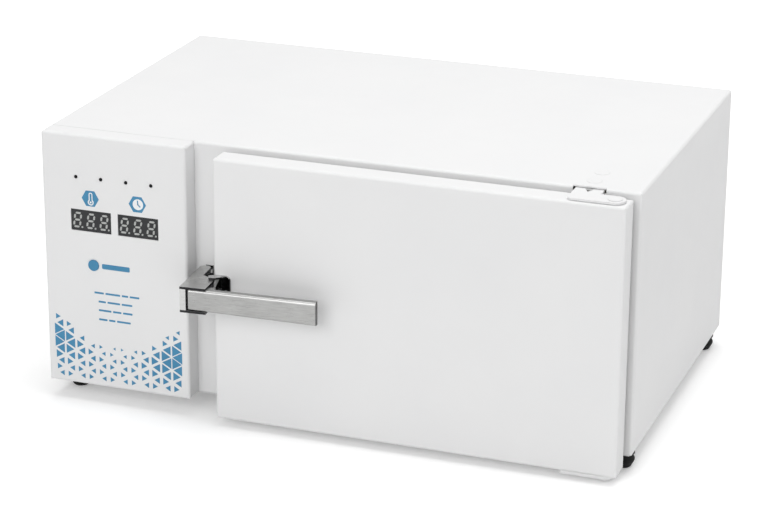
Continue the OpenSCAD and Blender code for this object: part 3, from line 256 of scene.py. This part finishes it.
def grained(name, color, rough, scale=800, depth=0.04 * MM, edge=0.4 * MM, gloss=0.5):
    """Moulded plastic, rubber, board or ink: a fine grain and a slight change of shade."""
    s = Shader(name, color, rough)
    s.inputs["Specular IOR Level"].default_value = gloss
    texture = s.coords()
    s.vary_shade(s.noise(texture, scale / 20, 2), color, 0.06)
    s.vary_rough(s.noise(texture, scale / 6), rough - 0.04, rough + 0.06)
    s.surface(s.noise(texture, scale, 2), depth, 0.3, edge)
    return s.material


def printed(name, color, gloss=0.5):
    """Ink, or a part as fine and flat as ink."""
    return grained(name, color, 0.4, 900, 0.01 * MM, 0.05 * MM, gloss)


def wool():
    s = Shader("insulation_wool", (0.62, 0.54, 0.36), 0.95)
    texture = s.coords((1, 1, 3))
    s.vary_color(s.noise(texture, 220, 5), (0.50, 0.43, 0.27), (0.70, 0.63, 0.45))
    s.surface(s.noise(texture, 500, 6), 0.6 * MM, 0.9, 1.0 * MM)
    return s.material


materials = {
    "white_paint": white_paint(),
    "stainless": brushed("stainless_brushed", (0.60, 0.60, 0.59), 0.30, "x", LATCH_YAW),
    "stainless_liner": brushed("stainless_liner", (0.47, 0.47, 0.46), 0.32, "y"),
    "zinc_plated": plain_metal("zinc_plated", (0.66, 0.67, 0.68), 0.34),
    "dark_stainless": steel_with_painted_reflection(),
    "hook_steel": hook_steel(),
    "bar_steel": bar_steel(),
    "rubber": grained("black_rubber", (0.008, 0.008, 0.008), 0.6, 600, gloss=0.15),
    "blue_ink": printed("blue_ink", INK_BLUE, 0.3),
    "white_ink": printed("white_ink", (0.85, 0.86, 0.87)),
    "display_window": grained("display_window", (0.022, 0.023, 0.025), 0.18, 1500, 0.01 * MM, 0.3 * MM, 0.3),
    "display_segment": printed("display_segment", (0.42, 0.43, 0.42)),
    "led_epoxy": grained("led_epoxy", (0.006, 0.006, 0.007), 0.2, 900, 0.01 * MM, 0.2 * MM, 0.15),
    "button_blue": grained("button_blue", (0.055, 0.24, 0.42), 0.35, 700, 0.02 * MM, 0.6 * MM, 0.3),
    "circuit_board": grained("circuit_board", (0.02, 0.12, 0.05), 0.35, 500),
    "black_plastic": grained("black_plastic", (0.018, 0.018, 0.019), 0.42, 700),
    "relay_blue": grained("relay_blue", (0.02, 0.05, 0.20), 0.4, 700),
    "transformer_steel": grained("transformer_steel", (0.06, 0.055, 0.05), 0.5, 400),
    "heater_sheath": plain_metal("heater_sheath", (0.22, 0.20, 0.18), 0.45),
    "insulation": wool(),
    "silicone": grained("silicone_gasket", (0.42, 0.07, 0.04), 0.5, 500),
    "ceramic": grained("ceramic", (0.70, 0.69, 0.63), 0.45, 400),
    "bronze": plain_metal("bronze", (0.60, 0.42, 0.18), 0.38),
    "tray_steel": brushed("tray_steel", (0.52, 0.52, 0.51), 0.28, "x"),
}

LINER_NODES = ("chamber_liner", "left_rail", "right_rail", "door_inner_panel", "temperature_probe")
OWN_LOOKS = {name: "stainless_liner" for name in LINER_NODES}
OWN_LOOKS.update(latch_hook="hook_steel", handle_bar="bar_steel")


def dress_nodes():
    """Each CAD node takes the material of its slot in the record, or its own look of that material."""
    slots = {s["node"]: s["material_slot"] for s in frame["record"]["subparts"]}
    for name, obj in frame["nodes"].items():
        look = materials[OWN_LOOKS.get(name, slots[name])]
        for slot in obj.material_slots:
            slot.material = look
        if not obj.material_slots:
            obj.data.materials.append(look)


dress_nodes()


# Small pieces


def add_piece(name, mesh, material, body="case"):
    """A new piece from a bmesh, dressed and riding on a body."""
    data = bpy.data.meshes.new(name)
    bmesh.ops.recalc_face_normals(mesh, faces=mesh.faces)
    mesh.to_mesh(data)
    mesh.free()
    obj = bpy.data.objects.new(name, data)
    bpy.context.scene.collection.objects.link(obj)
    data.materials.append(materials[material])
    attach(obj, body)


def add_prism(mesh, outline, place, hole=None):
    """A flat shape one layer of ink thick. place turns (u, v, height) into a point; hole is a second
    outline with as many points."""

    def ring(points, height):
        return [mesh.verts.new(place(u, v, height)) for u, v in points]

    low = ring(outline, 0)
    high = ring(outline, INK)
    pairs = [(i, (i + 1) % len(outline)) for i in range(len(outline))]
    for i, j in pairs:
        mesh.faces.new((low[i], low[j], high[j], high[i]))
    if hole is None:
        mesh.faces.new(low[::-1])
        mesh.faces.new(high)
        return
    inner_low = ring(hole, 0)
    inner_high = ring(hole, INK)
    for i, j in pairs:
        mesh.faces.new((inner_low[j], inner_low[i], inner_high[i], inner_high[j]))
        mesh.faces.new((high[i], high[j], inner_high[j], inner_high[i]))
        mesh.faces.new((low[j], low[i], inner_low[i], inner_low[j]))


def on_print(layers):
    """Places on the panel's face, on top of that many layers of ink."""
    return lambda u, v, height: (u, PANEL_Y - layers * INK - height, v)


def rounded(x, z, w, h, r, steps=6):
    """Outline of a rectangle with round corners, about its centre."""
    points = []
    for cx, cz, start in ((1, 1, 0), (-1, 1, 90), (-1, -1, 180), (1, -1, 270)):
        for i in range(steps + 1):
            a = math.radians(start + 90 * i / steps)
            points.append((x + cx * (w / 2 - r) + r * math.cos(a), z + cz * (h / 2 - r) + r * math.sin(a)))
    return points


def disc(x, z, r, steps=32):
    turns = [2 * math.pi * i / steps for i in range(steps)]
    return [(x + r * math.cos(a), z + r * math.sin(a)) for a in turns]


# Rows of bars in the places of the printed words, in mm: drop from the case's top, start from the
# panel's left edge, and the words' lengths
WORD_ROWS = (
    (142, 46.3, (9, 14, 6, 9)),
    (150, 50, (7, 12, 10)),
    (158, 50, (12, 8, 9)),
    (166.5, 50, (8, 6, 13)),
)
WORD_HEIGHT = 1.7
WORD_GAP = 1.6


def panel_words():
    """Short blue bars in the places of the printed words."""
    mesh = bmesh.new()
    for drop, x, words in WORD_ROWS:
        for word in words:
            px, pz = panel_point(x + word / 2, drop)
            add_prism(mesh, rounded(px, pz, word * MM, WORD_HEIGHT * MM, 0.5 * MM), on_print(0))
            x += word + WORD_GAP
    add_piece("panel_word_bars", mesh, "blue_ink")


def button_bar():
    """Blue bar right of the button."""
    mesh = bmesh.new()
    px, pz = panel_point(67.6, 117)
    add_prism(mesh, rounded(px, pz, 26.3 * MM, 4.6 * MM, 1 * MM), on_print(0))
    add_piece("button_label_bar", mesh, "blue_ink")


def thermometer(x, z, half, r, top):
    """Outline of a thermometer: a bulb of radius r about (x, z), and a stem 2 * half wide up to top.
    x and z are in metres, the sizes in mm."""
    start = math.asin(half / r)
    bulb_steps, end_steps = 24, 8
    points = []
    for i in range(bulb_steps + 1):
        a = start + 2 * (math.pi - start) * i / bulb_steps
        points.append((x + r * math.sin(a) * MM, z + r * math.cos(a) * MM))
    for i in range(end_steps + 1):
        a = math.pi * (1 - i / end_steps)
        points.append((x + half * math.cos(a) * MM, z + (top + half * math.sin(a)) * MM))
    return points


def clock_hand(x, z, angle, length):
    """Outline of a clock's hand from (x, z), angle clockwise from the top, in degrees."""
    width = 1.0 * MM
    turn = math.radians(angle)
    along = Vector((math.sin(turn), math.cos(turn)))
    across = Vector((along.y, -along.x)) * width / 2
    start = Vector((x, z)) - along * width / 2
    end = Vector((x, z)) + along * length
    return [tuple(p) for p in (start - across, start + across, end + across, end - across)]


def icon_marks():
    """White marks on the two hexagons, a thermometer and a clock's dial, with blue hands on the dial."""
    icon_drop = 56.3
    bulb_drop = 3.3
    mesh = bmesh.new()
    x, z = panel_point(45.7, icon_drop + bulb_drop)
    add_prism(mesh, thermometer(x, z, 1.8, 2.8, 7.0), on_print(1), thermometer(x, z, 0.9, 1.7, 7.0))
    add_prism(mesh, disc(x, z, 0.9 * MM), on_print(1))
    x, z = panel_point(90.3, icon_drop)
    add_prism(mesh, disc(x, z, 4.9 * MM), on_print(1))
    add_piece("icon_marks", mesh, "white_ink")
    mesh = bmesh.new()
    add_prism(mesh, clock_hand(x, z, -5, 3.7 * MM), on_print(2))
    add_prism(mesh, clock_hand(x, z, 132, 3.0 * MM), on_print(2))
    add_piece("clock_hands", mesh, "blue_ink")


def rocker_marks():
    """The line and the ring of a mains switch, on the two halves of the rocker's face."""
    joints = frame["record"]["behaviour"]["joints"]
    pivot = next(Vector(j["pos_m"]) for j in joints if j["child"] == "power_rocker")
    tilt = math.radians(-8)
    turn = Matrix.Translation(pivot) @ Matrix.Rotation(tilt, 4, "X")
    # The face, as part.scad has it: its half height, how far its ends rise, and its dip in the middle
    half, rise, dip = 11 * MM, 4.2 * MM, 1.2 * MM
    mark_drop = 6.2 * MM

    def on_rocker(u, v, height):
        return turn @ Vector((u, rise - dip + abs(v) * dip / half + height, v))

    mesh = bmesh.new()
    add_prism(mesh, rounded(0, mark_drop, 0.9 * MM, 5 * MM, 0.3 * MM), on_rocker)
    add_prism(mesh, disc(0, -mark_drop, 2.3 * MM), on_rocker, disc(0, -mark_drop, 1.6 * MM))
    add_piece("rocker_marks", mesh, "white_ink", "power_rocker")


panel_words()
button_bar()
icon_marks()
rocker_marks()


# Floor, light and camera

FLOOR_SIZE = 12
# What the floor adds where it is seen, by the object and far off, and the distances of the two
NEAR_GLOW, FAR_GLOW = 0.26, 0.80
NEAR, FAR = 0.6, 2.2
WORLD_LIGHT = 0.31

# Round lamps: name, place, the point that they face, diameter in metres and power in watts
LAMPS = (
    ("key_light", (-0.3, -2.8, 1.5), (0, 0, 0.1), 2.0, 32),
    ("top_light", (0.3, 0.3, 3.0), (0, 0, 0.1), 3.0, 64),
    ("side_light", (2.8, -0.6, 1.4), (0.2, 0, 0.1), 2.0, 11),
)

# The photograph's viewpoint, from a fit of the case's corners: turns in degrees, lens and sensor in mm
CAMERA_PLACE = (0.7446, -2.0686, 0.9109)
AZIMUTH, ELEVATION, ROLL = 19.889, 19.891, 0.359
LENS = 122.9
SENSOR = 36


def seen_directly(tree, low, high):
    """A value: low for light on surfaces, high for what the camera, gloss and glass see."""
    path = add_node(tree, "ShaderNodeLightPath", {})
    seen = path.outputs["Is Camera Ray"]
    for other in ("Is Glossy Ray", "Is Transmission Ray"):
        seen = calculate(tree, "MAXIMUM", seen, path.outputs[other])
    return map_range(tree, seen, low, high)


def make_floor():
    """Pale floor. Its glow is small by the object, whose shadow stays, and grows with distance."""
    bpy.ops.mesh.primitive_plane_add(size=FLOOR_SIZE, location=(0, 0, 0))
    floor = bpy.context.active_object
    floor.name = "floor"
    s = Shader("floor_pale", (0.90, 0.90, 0.90), 0.9)
    s.inputs["Emission Color"].default_value = (1, 1, 1, 1)
    distance = s.add("ShaderNodeVectorMath", {0: s.coords()}, operation="LENGTH").outputs["Value"]
    glow = map_range(s.tree, distance, NEAR_GLOW, FAR_GLOW, NEAR, FAR)
    s.feed("Emission Strength", s.calculate("MULTIPLY", glow, seen_directly(s.tree, 0, 1)))
    floor.data.materials.append(s.material)


def make_world():
    """White where it is seen, and a soft light on surfaces."""
    world = bpy.data.worlds.new("studio")
    world.use_nodes = True
    tree = world.node_tree
    background = tree.nodes["Background"]
    background.inputs["Color"].default_value = (1, 1, 1, 1)
    tree.links.new(seen_directly(tree, WORLD_LIGHT, 1.0), background.inputs["Strength"])
    bpy.context.scene.world = world


def make_lamps():
    for name, place, target, size, power in LAMPS:
        data = bpy.data.lights.new(name, "AREA")
        data.shape = "DISK"
        data.size = size
        data.energy = power
        lamp = bpy.data.objects.new(name, data)
        lamp.location = place
        lamp.rotation_euler = (Vector(target) - Vector(place)).to_track_quat("-Z", "Y").to_euler()
        bpy.context.scene.collection.objects.link(lamp)


def make_camera():
    data = bpy.data.cameras.new("camera")
    data.sensor_width = SENSOR
    data.lens = LENS
    data.clip_end = 50
    camera = bpy.data.objects.new("camera", data)
    azimuth, elevation, roll = (math.radians(a) for a in (AZIMUTH, ELEVATION, ROLL))
    turn = Matrix.Rotation(azimuth, 4, "Z") @ Matrix.Rotation(math.pi / 2 - elevation, 4, "X")
    turn = turn @ Matrix.Rotation(roll, 4, "Z")
    camera.matrix_world = Matrix.Translation(CAMERA_PLACE) @ turn
    bpy.context.scene.collection.objects.link(camera)
    bpy.context.scene.camera = camera


make_floor()
make_world()
make_lamps()
make_camera()
bpy.context.scene.view_settings.view_transform = "Standard"
